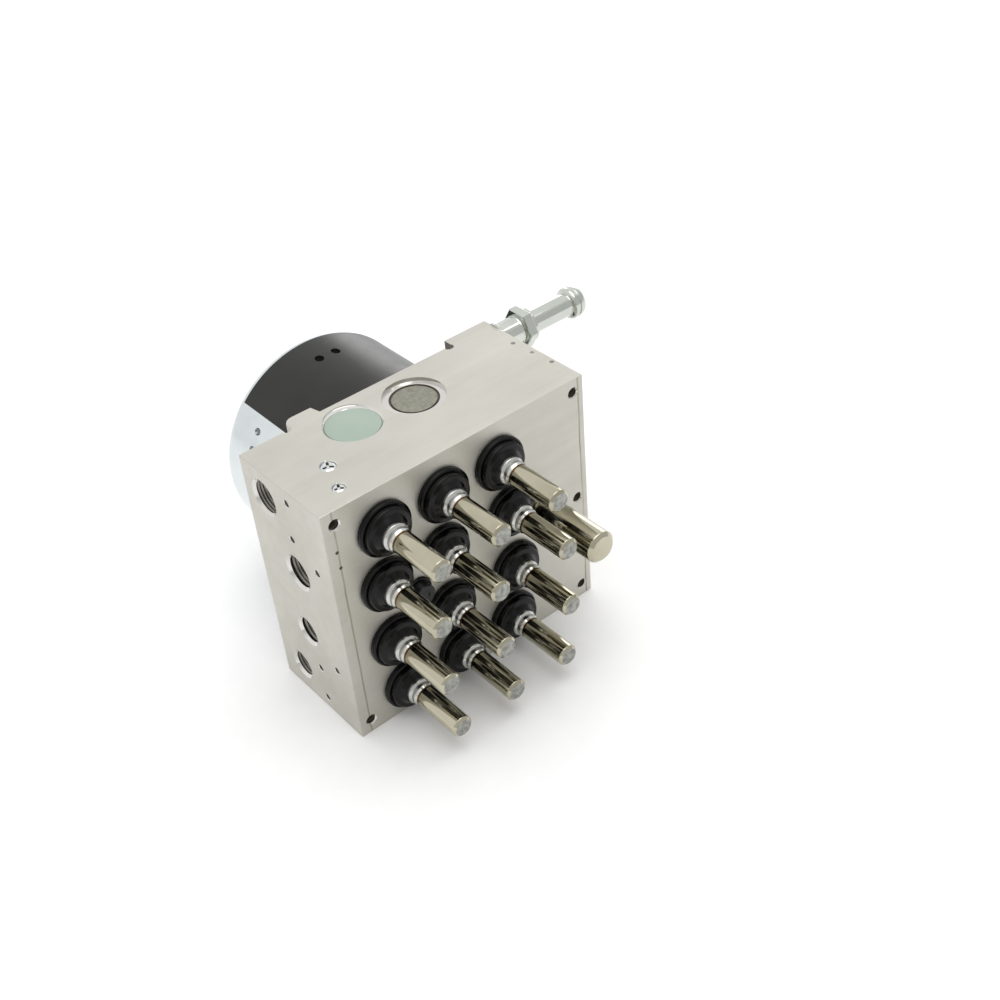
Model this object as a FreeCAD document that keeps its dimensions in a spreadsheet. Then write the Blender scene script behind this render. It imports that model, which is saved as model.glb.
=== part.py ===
"""Hydraulic unit of an anti-lock brake system, without its electronic unit.

Millimetres. +Z is up, the valves face -Y, the pump motor stands out along +Y and the hose nipple
along +X. The origin is midway between the bracket's screw holes in the block's underside. Places
in the block are measured from its left, front, bottom corner: across, back and up.
"""
import FreeCAD
import Part
import Sketcher
import math
import os
from types import SimpleNamespace

DIMENSIONS = {
    # Valve block: outline seen from above
    "block_width": 100.0,
    "block_depth": 48.0,
    "block_height": 90.0,
    "motor_face_drop": 4.2,
    "left_strip_drop": 5.2,
    "left_strip_width": 16.2,
    "tab_left": 18.8,
    "tab_right_top": 29.2,
    "tab_right_foot": 30.2,
    "tab_corner": 3.5,
    "right_pad_left": 82.6,
    "relief_radius": 1.5,
    "relief_left": 17.2,
    "relief_right": 81.3,
    # Solenoid valves: a field of three columns and four rows
    "column_first": 20.0,
    "column_pitch": 22.0,
    "inner_rows_left_shift": 2.2,
    "inner_rows_right_shift": 2.8,
    "valve_field_up": 43.3,
    "inner_rows_half_gap": 11.5,
    "outer_rows_half_gap": 31.8,
    "valve_base_radius": 9.3,
    "valve_base_height": 3.6,
    "sleeve_radius": 3.7,
    "sleeve_wall": 0.5,
    "sleeve_length": 28.2,
    "pole_piece_length": 9.6,
    "plunger_clearance": 0.05,
    "plunger_travel": 0.4,
    # Pressure sensor
    "sensor_across": 80.5,
    "sensor_up": 47.0,
    "sensor_radius": 5.5,
    "sensor_length": 28.0,
    # Brake-line ports in the left side, and two more in the right side
    "large_port_radius": 5.5,
    "small_port_radius": 4.5,
    "port_one_back": 31.9,
    "port_one_up": 79.6,
    "port_one_depth": 13.0,
    "port_two_back": 20.3,
    "port_two_up": 57.2,
    "port_two_depth": 12.5,
    "port_three_back": 22.2,
    "port_three_up": 31.6,
    "port_three_depth": 11.5,
    "port_four_back": 31.2,
    "port_four_up": 10.5,
    "port_four_depth": 12.0,
    "right_ports_back": 26.0,
    "port_five_up": 40.0,
    "port_five_depth": 10.5,
    "port_six_up": 63.0,
    "port_six_depth": 10.0,
    # Threaded holes: electronic unit on the front, bracket under the block
    "unit_hole_radius": 1.65,
    "unit_hole_depth": 9.0,
    "unit_hole_inset": 4.3,
    "unit_hole_low": 5.0,
    "unit_hole_high": 85.0,
    "unit_hole_middle": 43.4,
    "bracket_hole_radius": 2.5,
    "bracket_hole_depth": 12.0,
    "bracket_hole_inset": 9.0,
    "bracket_hole_back": 12.0,
    # Pump motor
    "motor_across": 56.0,
    "motor_up": 45.0,
    "can_radius": 38.0,
    "can_wall": 1.5,
    "can_length": 51.4,
    "can_bevel": 1.4,
    "rear_cup_radius": 10.0,
    "rear_cup_length": 4.5,
    "motor_recess_gap": 0.6,
    "magnet_inner_radius": 29.6,
    "magnet_span": 128.0,
    "magnet_length": 27.0,
    "magnet_start": 15.5,
    "magnet_gap": 0.1,
    "holder_radius": 36.2,
    "holder_plate": 2.4,
    "holder_hole_radius": 13.0,
    "post_across": 28.8,
    "post_radius": 3.5,
    "post_gap": 0.25,
    "post_proud": 3.6,
    "brush_width": 4.0,
    "brush_height": 6.0,
    "brush_length": 9.0,
    "brush_gap": 0.1,
    "brush_guide_wall": 2.0,
    "brush_guide_height": 8.0,
    "brush_guide_floor": 1.0,
    "brush_guide_end": 21.0,
    # Rotor
    "shaft_radius": 4.0,
    "shaft_rear_radius": 3.0,
    "shaft_end_gap": 0.4,
    "shaft_tip_length": 2.5,
    "running_gap": 0.05,
    "core_radius": 28.6,
    "core_length": 20.0,
    "core_start": 19.0,
    "core_hub_radius": 11.0,
    "slot_count": 10.0,
    "slot_width": 5.0,
    "slot_mouth": 2.4,
    "slot_top_radius": 25.5,
    "winding_gap": 0.2,
    "winding_end_height": 5.0,
    "commutator_radius": 9.0,
    "commutator_start": 4.0,
    "commutator_length": 9.0,
    "front_bearing_width": 6.0,
    "eccentric_offset": 0.7,
    "eccentric_radius": 5.4,
    "eccentric_width": 9.0,
    "eccentric_ring_radius": 9.5,
    # Pump elements above and below the eccentric
    "pump_from_motor_face": 14.3,
    "chamber_radius": 13.8,
    "chamber_depth": 22.0,
    "pump_plug_radius": 8.1,
    "pump_plug_length": 6.5,
    "counterbore_radius": 10.0,
    "counterbore_depth": 1.2,
    "pump_piston_radius": 3.4,
    "pump_piston_length": 14.0,
    "pump_spring_radius": 2.4,
    "pump_spring_wire": 0.7,
    "cam_gap": 0.1,
    # Damper chamber in the top and accumulators in the underside
    "damper_across": 33.6,
    "damper_from_motor_face": 12.8,
    "damper_radius": 8.9,
    "damper_depth": 26.0,
    "damper_plug_length": 4.0,
    "damper_plug_sunk": 0.4,
    "accumulator_left": 33.0,
    "accumulator_right": 79.0,
    "accumulator_from_motor_face": 13.3,
    "accumulator_radius": 9.0,
    "accumulator_depth": 27.0,
    "accumulator_cap": 2.5,
    "accumulator_piston_length": 6.0,
    "accumulator_spring_radius": 5.6,
    "accumulator_spring_wire": 1.2,
    "spring_gap": 0.1,
    # Hose nipple
    "nipple_from_back": 5.6,
    "nipple_from_top": 5.4,
    "nipple_sunk": 9.0,
    "nipple_stub_radius": 5.0,
    "nipple_stub_length": 11.0,
    "nipple_collar_across_flats": 13.0,
    "nipple_collar_width": 3.4,
    "nipple_tube_radius": 4.0,
    "nipple_bulb_radius": 5.6,
    "nipple_bulb_start": 31.5,
    "nipple_length": 37.4,
    "nipple_hole_radius": 2.4,
}

# Sides and facets, counted rather than measured
PLUNGER_SIDES = 8
BASE_FACETS = 28
CAVITY_FACETS = 28
HOLDER_SIDES = 8
MAGNET_FACETS = 8
SPRING_CORNERS = 8
SPRING_TURNS = 4

# Facings: each turns a piece's own Z axis to the direction in its name
UP = FreeCAD.Rotation()
DOWN = FreeCAD.Rotation(FreeCAD.Vector(1, 0, 0), 180)
FORWARD = FreeCAD.Rotation(FreeCAD.Vector(1, 0, 0), 90)
BACKWARD = FreeCAD.Rotation(FreeCAD.Vector(1, 0, 0), -90)
RIGHT = FreeCAD.Rotation(FreeCAD.Vector(0, 1, 0), 90)
LEFT = FreeCAD.Rotation(FreeCAD.Vector(0, 1, 0), -90)


class Size:
    """A length, or a sum of lengths, together with the formula that binds it to the sheet."""

    def __init__(self, value, formula):
        self.value = value
        self.formula = formula

    def __add__(self, other):
        other = as_size(other)
        return Size(self.value + other.value, f"({self.formula} + {other.formula})")

    def __sub__(self, other):
        other = as_size(other)
        return Size(self.value - other.value, f"({self.formula} - {other.formula})")

    def __rsub__(self, other):
        return as_size(other) - self

    def __mul__(self, factor):
        return Size(self.value * factor, f"({self.formula} * {factor})")

    def __truediv__(self, divisor):
        return Size(self.value / divisor, f"({self.formula} / {divisor})")

    __radd__ = __add__
    __rmul__ = __mul__


def as_size(item):
    return item if isinstance(item, Size) else Size(float(item), f"{float(item)}")


def make_sheet(document):
    """Write the driving dimensions to the sheet and return them as named sizes."""
    sheet = document.addObject("Spreadsheet::Sheet", "Sizes")
    named = {}
    for row, (name, value) in enumerate(DIMENSIONS.items(), start=1):
        sheet.set(f"A{row}", name)
        sheet.set(f"B{row}", str(value))
        sheet.setAlias(f"B{row}", name)
        named[name] = Size(value, f"Sizes.{name}")
    return SimpleNamespace(**named)


document = FreeCAD.newDocument("HydraulicUnit")
s = make_sheet(document)
document.recompute()
motor_face = s.block_depth - s.motor_face_drop
pump_back = motor_face - s.pump_from_motor_face
damper_back = motor_face - s.damper_from_motor_face
accumulator_back = motor_face - s.accumulator_from_motor_face
kept = []


# Sketches


def sketch_on(body, name, role, lift=0):
    """Start a sketch on one of the body's own origin planes, lifted along that plane's normal."""
    sketch = body.newObject("Sketcher::SketchObject", name)
    plane = next(item for item in body.Origin.OriginFeatures if item.Role == role)
    sketch.AttachmentSupport = (plane, [""])
    sketch.MapMode = "FlatFace"
    lift = as_size(lift)
    sketch.AttachmentOffset = FreeCAD.Placement(FreeCAD.Vector(0, 0, lift.value), UP)
    sketch.setExpression("AttachmentOffset.Base.z", lift.formula)
    return sketch


def bind(sketch, kind, *terms):
    """Add a dimension whose last term is a size."""
    size = terms[-1]
    number = sketch.addConstraint(Sketcher.Constraint(kind, *terms[:-1], size.value))
    sketch.setExpression(f"Constraints[{number}]", size.formula)


def hold_point(sketch, element, end, across, along):
    """Hold a point of a sketch element at its two distances from the sketch's origin."""
    for kind, zero_axis, size in (("DistanceX", -2, across), ("DistanceY", -1, along)):
        size = as_size(size)
        if abs(size.value) < 1e-9:
            sketch.addConstraint(Sketcher.Constraint("PointOnObject", element, end, zero_axis))
        elif size.value > 0:
            bind(sketch, kind, -1, 1, element, end, size)
        else:
            bind(sketch, kind, element, end, -1, 1, 0 - size)


def draw_outline(sketch, points):
    """Draw a closed outline of straight edges through points given as (across, along)."""
    corners = [FreeCAD.Vector(as_size(x).value, as_size(y).value, 0) for x, y in points]
    first = sketch.GeometryCount
    for number, corner in enumerate(corners):
        following = corners[(number + 1) % len(corners)]
        sketch.addGeometry(Part.LineSegment(corner, following), False)
    for number, (across, along) in enumerate(points):
        before = first + (number - 1) % len(points)
        sketch.addConstraint(Sketcher.Constraint("Coincident", before, 2, first + number, 1))
        hold_point(sketch, first + number, 1, across, along)


def draw_polygon(sketch, radius, sides):
    """Draw a regular polygon by its corner radius, with one corner on the sketch's first axis."""
    turns = [2 * math.pi * number / sides for number in range(sides)]
    draw_outline(sketch, [(radius * math.cos(turn), radius * math.sin(turn)) for turn in turns])


def draw_circles(sketch, centres, radius):
    for number, (across, along) in enumerate(centres, start=sketch.GeometryCount):
        centre = FreeCAD.Vector(as_size(across).value, as_size(along).value, 0)
        sketch.addGeometry(Part.Circle(centre, FreeCAD.Vector(0, 0, 1), radius.value), False)
        hold_point(sketch, number, 3, across, along)
        bind(sketch, "Radius", number, radius)


# Features


def place(piece, position, facing=UP):
    """Put a piece's origin at a position measured from the block's left, front, bottom corner."""
    across, back, up = position
    corner = (as_size(across) - s.block_width / 2, as_size(back) - s.bracket_hole_back, as_size(up))
    start = FreeCAD.Vector(*[size.value for size in corner])
    piece.Placement = FreeCAD.Placement(start, facing)
    for axis, size in zip("xyz", corner):
        piece.setExpression(f"Placement.Base.{axis}", size.formula)


def new_body(label, keep=True):
    body = document.addObject("PartDesign::Body", label)
    body.Label = label
    if keep:
        kept.append(body)
    return body


def pad(body, sketch, length):
    feature = body.newObject("PartDesign::Pad", sketch.Name + "_pad")
    feature.Profile = sketch
    feature.setExpression("Length", as_size(length).formula)
    return feature


def revolve(body, sketch):
    feature = body.newObject("PartDesign::Revolution", sketch.Name + "_revolution")
    feature.Profile = sketch
    feature.ReferenceAxis = (sketch, ["V_Axis"])
    feature.Angle = 360
    return feature


def cut_pocket(body, sketch, depth, along_normal):
    """Cut a pocket and make sure that it took material away."""
    document.recompute()
    before = body.Shape.Volume
    feature = body.newObject("PartDesign::Pocket", sketch.Name + "_pocket")
    feature.Profile = sketch
    feature.Reversed = along_normal
    feature.setExpression("Length", as_size(depth).formula)
    document.recompute()
    if body.Shape.Volume > before - 1e-3:
        raise RuntimeError(f"{feature.Name} cuts nothing")
    return feature


def cut_holes(body, name, side, centres, radius, depth, sunk=0):
    """Drill equal round holes from one side of the block, starting that far below its face."""
    sides = {
        "front": ("XZ_Plane", 0 - as_size(sunk), False),
        "back": ("XZ_Plane", as_size(sunk) - s.block_depth, True),
        "left": ("YZ_Plane", as_size(sunk), True),
        "right": ("YZ_Plane", s.block_width - sunk, False),
        "bottom": ("XY_Plane", as_size(sunk), True),
        "top": ("XY_Plane", s.block_height - sunk, False),
    }
    role, lift, along_normal = sides[side]
    sketch = sketch_on(body, name, role, lift)
    draw_circles(sketch, centres, radius)
    return cut_pocket(body, sketch, depth, along_normal)


def round_edges(body, name, radius, chosen):
    """Round the edges that the given test picks."""
    document.recompute()
    base = body.Tip
    edges = [f"Edge{n}" for n, edge in enumerate(base.Shape.Edges, start=1) if chosen(edge)]
    if not edges:
        raise RuntimeError(f"{name} finds no edge")
    feature = body.newObject("PartDesign::Fillet", name)
    feature.Base = (base, edges)
    feature.setExpression("Radius", radius.formula)
    return feature


def turned_piece(label, points, position, facing=UP):
    """A piece turned about its own Z axis from a profile of (radius, height) points."""
    body = new_body(label)
    sketch = sketch_on(body, label + "_profile", "XZ_Plane")
    draw_outline(sketch, points)
    revolve(body, sketch)
    place(body, position, facing)
    return body


def group(label, pattern, placements):
    """Equal pieces that share one name, as copies of one pattern piece."""
    copies = []
    for number, (position, facing) in enumerate(placements, start=1):
        copy = document.addObject("App::Link", f"{label}_{number}")
        copy.LinkedObject = pattern
        copy.LinkTransform = False
        place(copy, position, facing)
        copies.append(copy)
    compound = document.addObject("Part::Compound", label)
    compound.Label = label
    compound.Links = copies
    kept.append(compound)
    return compound


def flat_sided(label, position, facing, radius, sides, length, bore=None, keep=True):
    """A straight piece with flat sides, and with a round bore if one is given."""
    body = new_body(label, keep)
    section = sketch_on(body, label + "_section", "XY_Plane")
    draw_polygon(section, radius, sides)
    if bore is not None:
        draw_circles(section, [(0, 0)], bore)
    pad(body, section, length)
    place(body, position, facing)
    return body


def spun(facing, degrees):
    """The same facing, with the piece first turned about its own Z axis."""
    return facing.multiply(FreeCAD.Rotation(FreeCAD.Vector(0, 0, 1), degrees))


# Places that several pieces share


def valve_places():
    """Where the valves stand on the front: across and up, row by row from the top."""
    outer = [s.column_first + s.column_pitch * n for n in range(3)]
    inner = [
        outer[0] - s.inner_rows_left_shift,
        outer[1] - s.inner_rows_left_shift,
        outer[2] + s.inner_rows_right_shift,
    ]
    rows = [
        (outer, s.valve_field_up + s.outer_rows_half_gap),
        (inner, s.valve_field_up + s.inner_rows_half_gap),
        (inner, s.valve_field_up - s.inner_rows_half_gap),
        (outer, s.valve_field_up - s.outer_rows_half_gap),
    ]
    return [(across, up) for columns, up in rows for across in columns]


valves = valve_places()
unit_right = s.block_width - s.unit_hole_inset
unit_holes = [
    (s.unit_hole_inset, s.unit_hole_low),
    (s.unit_hole_inset, s.unit_hole_high),
    (unit_right, s.unit_hole_low),
    (unit_right, s.unit_hole_middle),
    (unit_right, s.unit_hole_high),
]
bracket_holes = [
    (s.bracket_hole_inset, s.bracket_hole_back),
    (s.block_width - s.bracket_hole_inset, s.bracket_hole_back),
]
ports = [
    ("one", "left", s.port_one_back, s.port_one_up, s.large_port_radius, s.port_one_depth),
    ("two", "left", s.port_two_back, s.port_two_up, s.large_port_radius, s.port_two_depth),
    ("three", "left", s.port_three_back, s.port_three_up, s.small_port_radius, s.port_three_depth),
    ("four", "left", s.port_four_back, s.port_four_up, s.small_port_radius, s.port_four_depth),
    ("five", "right", s.right_ports_back, s.port_five_up, s.large_port_radius, s.port_five_depth),
    ("six", "right", s.right_ports_back, s.port_six_up, s.large_port_radius, s.port_six_depth),
]
pump = (s.motor_across, pump_back)
accumulators = [
    ("left", s.accumulator_left),
    ("right", s.accumulator_right),
]
pumps = [("top", UP, s.block_height - s.motor_up), ("bottom", DOWN, s.motor_up)]


# Valve block


def make_block():
    """The milled block: its stepped outline, then what is drilled from each side."""
    body = new_body("valve_block")
    outline = sketch_on(body, "block_outline", "XY_Plane")
    draw_outline(outline, [
        (0, 0),
        (s.block_width, 0),
        (s.block_width, s.block_depth),
        (s.right_pad_left, s.block_depth),
        (s.right_pad_left, motor_face),
        (s.tab_right_foot, motor_face),
        (s.tab_right_top, s.block_depth),
        (s.tab_left, s.block_depth),
        (s.tab_left, motor_face),
        (s.left_strip_width, motor_face),
        (s.left_strip_width, s.block_depth - s.left_strip_drop),
        (0, s.block_depth - s.left_strip_drop),
    ])
    pad(body, outline, s.block_height)
    corner = FreeCAD.Vector(s.tab_left.value, s.block_depth.value, s.block_height.value / 2)
    round_edges(body, "tab_rounding", s.tab_corner,
                lambda edge: edge.CenterOfMass.distanceToPoint(corner) < 1e-3)
    reliefs = [(s.relief_left, motor_face), (s.relief_right, motor_face)]
    cut_holes(body, "back_reliefs", "top", reliefs, s.relief_radius, s.block_height)
    drill_back(body)
    drill_front(body)
    drill_sides(body)
    drill_top_and_bottom(body)
    place(body, (0, 0, 0))
    return body


def drill_back(body):
    """The round recess for the can, the eccentric's chamber and the post's bore."""
    axis = [(s.motor_across, s.motor_up)]
    cut_holes(body, "motor_recess", "back", axis, s.can_radius + s.motor_recess_gap,
              s.motor_face_drop)
    cut_holes(body, "chamber", "back", axis, s.chamber_radius, s.chamber_depth, s.motor_face_drop)
    post = [(s.post_across, s.motor_up)]
    cut_holes(body, "post_bore", "front", post, s.post_radius + s.post_gap, s.block_depth)


def drill_front(body):
    """Screw holes for the electronic unit."""
    cut_holes(body, "unit_holes", "front", unit_holes, s.unit_hole_radius, s.unit_hole_depth)


def drill_sides(body):
    """Brake-line ports and the hose nipple's bore."""
    for name, side, back, up, radius, depth in ports:
        cut_holes(body, f"port_{name}", side, [(back, up)], radius, depth)
    nipple = [(s.block_depth - s.nipple_from_back, s.block_height - s.nipple_from_top)]
    cut_holes(body, "nipple_bore", "right", nipple, s.nipple_stub_radius, s.nipple_sunk)


def drill_top_and_bottom(body):
    """Pump bores, the damper's and the accumulators' chambers, and bracket holes."""
    plug_end = s.counterbore_depth + s.pump_plug_length
    piston_bore = s.pump_piston_radius + s.running_gap
    for side, facing, reach in pumps:
        cut_holes(body, f"{side}_counterbore", side, [pump], s.counterbore_radius, s.counterbore_depth)
        cut_holes(body, f"{side}_plug_bore", side, [pump], s.pump_plug_radius, plug_end)
        cut_holes(body, f"{side}_piston_bore", side, [pump], piston_bore, reach)
    damper = [(s.damper_across, damper_back)]
    cut_holes(body, "damper_chamber", "top", damper, s.damper_radius, s.damper_depth)
    low = [(across, accumulator_back) for side, across in accumulators]
    cut_holes(body, "accumulator_bores", "bottom", low, s.accumulator_radius, s.accumulator_depth)
    cut_holes(body, "bracket_holes", "bottom", bracket_holes, s.bracket_hole_radius,
              s.bracket_hole_depth)


# Solenoid valves and pressure sensor


def make_valves():
    """Twelve equal valves, each a base with a closed sleeve, and the plungers that slide in them.

    The plungers have eight flat sides, past which the fluid flows.
    """
    bore = s.sleeve_radius - s.sleeve_wall
    pole = s.sleeve_length - s.pole_piece_length
    valve = flat_sided("solenoid_valve", (0, 0, 0), UP, s.valve_base_radius, BASE_FACETS,
                       s.valve_base_height, keep=False)
    sleeve = sketch_on(valve, "sleeve_section", "XY_Plane", s.valve_base_height)
    draw_circles(sleeve, [(0, 0)], s.sleeve_radius)
    pad(valve, sleeve, s.sleeve_length - s.valve_base_height)
    guide = sketch_on(valve, "plunger_guide", "XY_Plane")
    draw_polygon(guide, bore, PLUNGER_SIDES)
    cut_pocket(valve, guide, pole, True)
    group("solenoid_valves", valve, [((across, 0, up), FORWARD) for across, up in valves])
    length = pole - s.plunger_travel - s.plunger_clearance * 2
    for number, (across, up) in enumerate(valves, start=1):
        seat = (across, 0 - s.plunger_clearance, up)
        flat_sided(f"valve_plunger_{number}", seat, FORWARD, bore - s.plunger_clearance,
                   PLUNGER_SIDES, length)


def rod(label, radius, length, position, facing=UP):
    """A plain round piece."""
    profile = [(0, 0), (radius, 0), (radius, length), (0, length)]
    return turned_piece(label, profile, position, facing)


def make_sensor_and_damper():
    rod("pressure_sensor", s.sensor_radius, s.sensor_length,
        (s.sensor_across, 0, s.sensor_up), FORWARD)
    damper_seat = s.block_height - s.damper_plug_sunk - s.damper_plug_length
    rod("damper_plug", s.damper_radius, s.damper_plug_length,
        (s.damper_across, damper_back, damper_seat))


# Pump elements and accumulators


def coil_spring(label, radius, wire, length, position, facing):
    """A compression spring of square wire, wound in short straight lengths."""
    half = wire.value / 2
    steps = SPRING_CORNERS * SPRING_TURNS
    rings = []
    for number in range(steps + 1):
        turn = 2 * math.pi * number / SPRING_CORNERS
        out = FreeCAD.Vector(math.cos(turn), math.sin(turn), 0)
        low = FreeCAD.Vector(0, 0, (length.value - wire.value) * number / steps)
        high = low + FreeCAD.Vector(0, 0, wire.value)
        inner = out * (radius.value - half)
        outer = out * (radius.value + half)
        rings.append([inner + low, outer + low, outer + high, inner + high])
    outlines = [rings[0], rings[-1]]
    for before, after in zip(rings, rings[1:]):
        for side in range(4):
            following = (side + 1) % 4
            outlines.append([before[side], before[following], after[following]])
            outlines.append([before[side], after[following], after[side]])
    faces = [Part.Face(Part.makePolygon(outline + outline[:1])) for outline in outlines]
    spring = document.addObject("Part::Feature", label)
    spring.Label = label
    spring.Shape = Part.makeSolid(Part.makeShell(faces))
    place(spring, position, facing)
    kept.append(spring)
    return spring


def make_pumps():
    """Two pump elements, above and below the eccentric, measured outwards from the motor's axis."""
    for name, facing, reach in pumps:
        side = 1 if name == "top" else -1
        seat = reach - s.counterbore_depth - s.pump_plug_length
        foot = s.eccentric_ring_radius + s.eccentric_offset + s.cam_gap
        crown = foot + s.pump_piston_length

        def out_from_axis(distance):
            return s.motor_across, pump_back, s.motor_up + distance * side

        rod(f"pump_plug_{name}", s.pump_plug_radius, s.pump_plug_length, out_from_axis(seat), facing)
        rod(f"pump_piston_{name}", s.pump_piston_radius, s.pump_piston_length,
            out_from_axis(foot), facing)
        coil_spring(f"pump_spring_{name}", s.pump_spring_radius, s.pump_spring_wire,
                    seat - crown - s.spring_gap * 2, out_from_axis(crown + s.spring_gap), facing)


def make_accumulators():
    """Low-pressure accumulators in the underside: cap, spring and piston."""
    foot = s.accumulator_depth - s.spring_gap - s.accumulator_piston_length
    radius = s.accumulator_radius - s.running_gap
    length = foot - s.accumulator_cap - s.spring_gap * 2
    for side, across in accumulators:
        rod(f"accumulator_cap_{side}", s.accumulator_radius, s.accumulator_cap,
            (across, accumulator_back, 0))
        rod(f"accumulator_piston_{side}", radius, s.accumulator_piston_length,
            (across, accumulator_back, foot))
        coil_spring(f"accumulator_spring_{side}", s.accumulator_spring_radius,
                    s.accumulator_spring_wire, length,
                    (across, accumulator_back, s.accumulator_cap + s.spring_gap), UP)


# Pump motor: measured back from the face that it is bolted to


def on_motor_axis(back):
    return s.motor_across, back, s.motor_up


def ring(label, inner, outer, width, position):
    """A plain ring that faces backward."""
    profile = [(inner, 0), (outer, 0), (outer, width), (inner, width)]
    return turned_piece(label, profile, position, BACKWARD)


def make_motor_case():
    """Deep-drawn can, whose rear cup carries the shaft's end, with the bearing at the front."""
    inner = s.can_radius - s.can_wall
    end_bore = s.shaft_rear_radius + s.running_gap
    cup_end = s.can_length + s.rear_cup_length
    can = turned_piece("motor_can", [
        (0, 0),
        (s.can_radius, 0),
        (s.can_radius, s.can_length - s.can_bevel),
        (s.can_radius - s.can_bevel, s.can_length),
        (s.rear_cup_radius, s.can_length),
        (s.rear_cup_radius, cup_end),
        (0, cup_end),
    ], on_motor_axis(motor_face), BACKWARD)
    cavity = sketch_on(can, "can_cavity", "XY_Plane")
    draw_polygon(cavity, inner, CAVITY_FACETS)
    cut_pocket(can, cavity, s.can_length - s.can_wall, True)
    journal = sketch_on(can, "journal_bore", "XY_Plane", s.can_length - s.can_wall)
    draw_circles(journal, [(0, 0)], end_bore)
    cut_pocket(can, journal, s.rear_cup_length, True)
    ring("front_bearing", s.shaft_radius + s.running_gap, s.chamber_radius,
         s.front_bearing_width, on_motor_axis(motor_face - s.front_bearing_width))


def make_magnets():
    """Two arched magnets, drawn with flat facets, left and right of the armature."""
    magnet = new_body("motor_magnet", keep=False)
    section = sketch_on(magnet, "magnet_section", "XY_Plane")
    cavity_flat = (s.can_radius - s.can_wall) * math.cos(math.pi / CAVITY_FACETS)
    outer = cavity_flat - s.magnet_gap
    steps = [n / MAGNET_FACETS - 0.5 for n in range(MAGNET_FACETS + 1)]
    turns = [math.radians(s.magnet_span.value * step) for step in steps]
    outside = [(outer * math.cos(turn), outer * math.sin(turn)) for turn in turns]
    inside = [(s.magnet_inner_radius * math.cos(turn), s.magnet_inner_radius * math.sin(turn))
              for turn in reversed(turns)]
    draw_outline(section, outside + inside)
    pad(magnet, section, s.magnet_length)
    seat = on_motor_axis(motor_face + s.magnet_start)
    group("motor_magnets", magnet, [(seat, BACKWARD), (seat, spun(BACKWARD, 180))])


def make_brush_gear():
    """Moulded holder with two open brush guides and the contact post, and the brushes."""
    holder = new_body("brush_holder")
    plate = sketch_on(holder, "holder_plate_outline", "XY_Plane")
    draw_polygon(plate, s.holder_radius, HOLDER_SIDES)
    draw_polygon(plate, s.holder_hole_radius, HOLDER_SIDES)
    pad(holder, plate, s.holder_plate)
    half_guide = s.brush_width / 2 + s.brush_gap + s.brush_guide_wall
    half_slot = s.brush_width / 2 + s.brush_gap
    for number, side in enumerate((1, -1), start=1):
        near = s.holder_hole_radius * side
        far = s.brush_guide_end * side
        guide = sketch_on(holder, f"guide_{number}", "XY_Plane", s.holder_plate)
        draw_outline(guide, box_corners(half_guide, near, far))
        pad(holder, guide, s.brush_guide_height)
        slot = sketch_on(holder, f"guide_slot_{number}", "XY_Plane",
                         s.holder_plate + s.brush_guide_floor)
        draw_outline(slot, box_corners(half_slot, near, far))
        cut_pocket(holder, slot, s.brush_guide_height, True)
    post = sketch_on(holder, "post_section", "XY_Plane")
    draw_circles(post, [(s.post_across - s.motor_across, 0)], s.post_radius)
    pad(holder, post, motor_face + s.post_proud).Reversed = True
    place(holder, on_motor_axis(motor_face), BACKWARD)
    brush = new_body("motor_brush", keep=False)
    section = sketch_on(brush, "brush_section", "XY_Plane")
    start = s.commutator_radius + s.brush_gap
    draw_outline(section, box_corners(s.brush_width / 2, start, start + s.brush_length))
    pad(brush, section, s.brush_height)
    seat = on_motor_axis(motor_face + s.holder_plate + s.brush_guide_floor)
    group("motor_brushes", brush, [(seat, BACKWARD), (seat, spun(BACKWARD, 180))])


def box_corners(half_width, near, far):
    return [(0 - half_width, near), (half_width, near), (half_width, far), (0 - half_width, far)]


# Rotor


def make_rotor():
    """Shaft with its eccentric, slotted core with windings, commutator and the eccentric's ring."""
    front = pump_back - s.eccentric_width / 2 - s.shaft_tip_length
    case_end = motor_face + s.can_length + s.rear_cup_length - s.can_wall
    rear_start = motor_face + s.can_length - s.can_wall - s.shaft_end_gap - front
    length = case_end - s.shaft_end_gap - front
    shaft = turned_piece("rotor_shaft", [
        (0, 0),
        (s.shaft_radius, 0),
        (s.shaft_radius, rear_start),
        (s.shaft_rear_radius, rear_start),
        (s.shaft_rear_radius, length),
        (0, length),
    ], on_motor_axis(front), BACKWARD)
    cam = sketch_on(shaft, "eccentric_section", "XY_Plane", s.shaft_tip_length)
    draw_circles(cam, [(s.eccentric_offset, 0)], s.eccentric_radius)
    pad(shaft, cam, s.eccentric_width)
    centre = (s.motor_across + s.eccentric_offset, front + s.shaft_tip_length, s.motor_up)
    ring("eccentric_ring", s.eccentric_radius + s.running_gap, s.eccentric_ring_radius,
         s.eccentric_width, centre)
    segments = int(s.slot_count.value)
    flat_sided("commutator", on_motor_axis(motor_face + s.commutator_start), BACKWARD,
               s.commutator_radius, segments, s.commutator_length, s.shaft_radius)
    make_core(segments)
    make_windings(segments)


def spread(body, feature, name):
    """Repeat a feature once for each slot around the axis."""
    copies = body.newObject("PartDesign::PolarPattern", name)
    copies.Originals = [feature]
    copies.Axis = (feature.Profile[0], ["N_Axis"])
    copies.Angle = 360
    copies.Occurrences = int(s.slot_count.value)
    body.Tip = copies
    return copies


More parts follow.
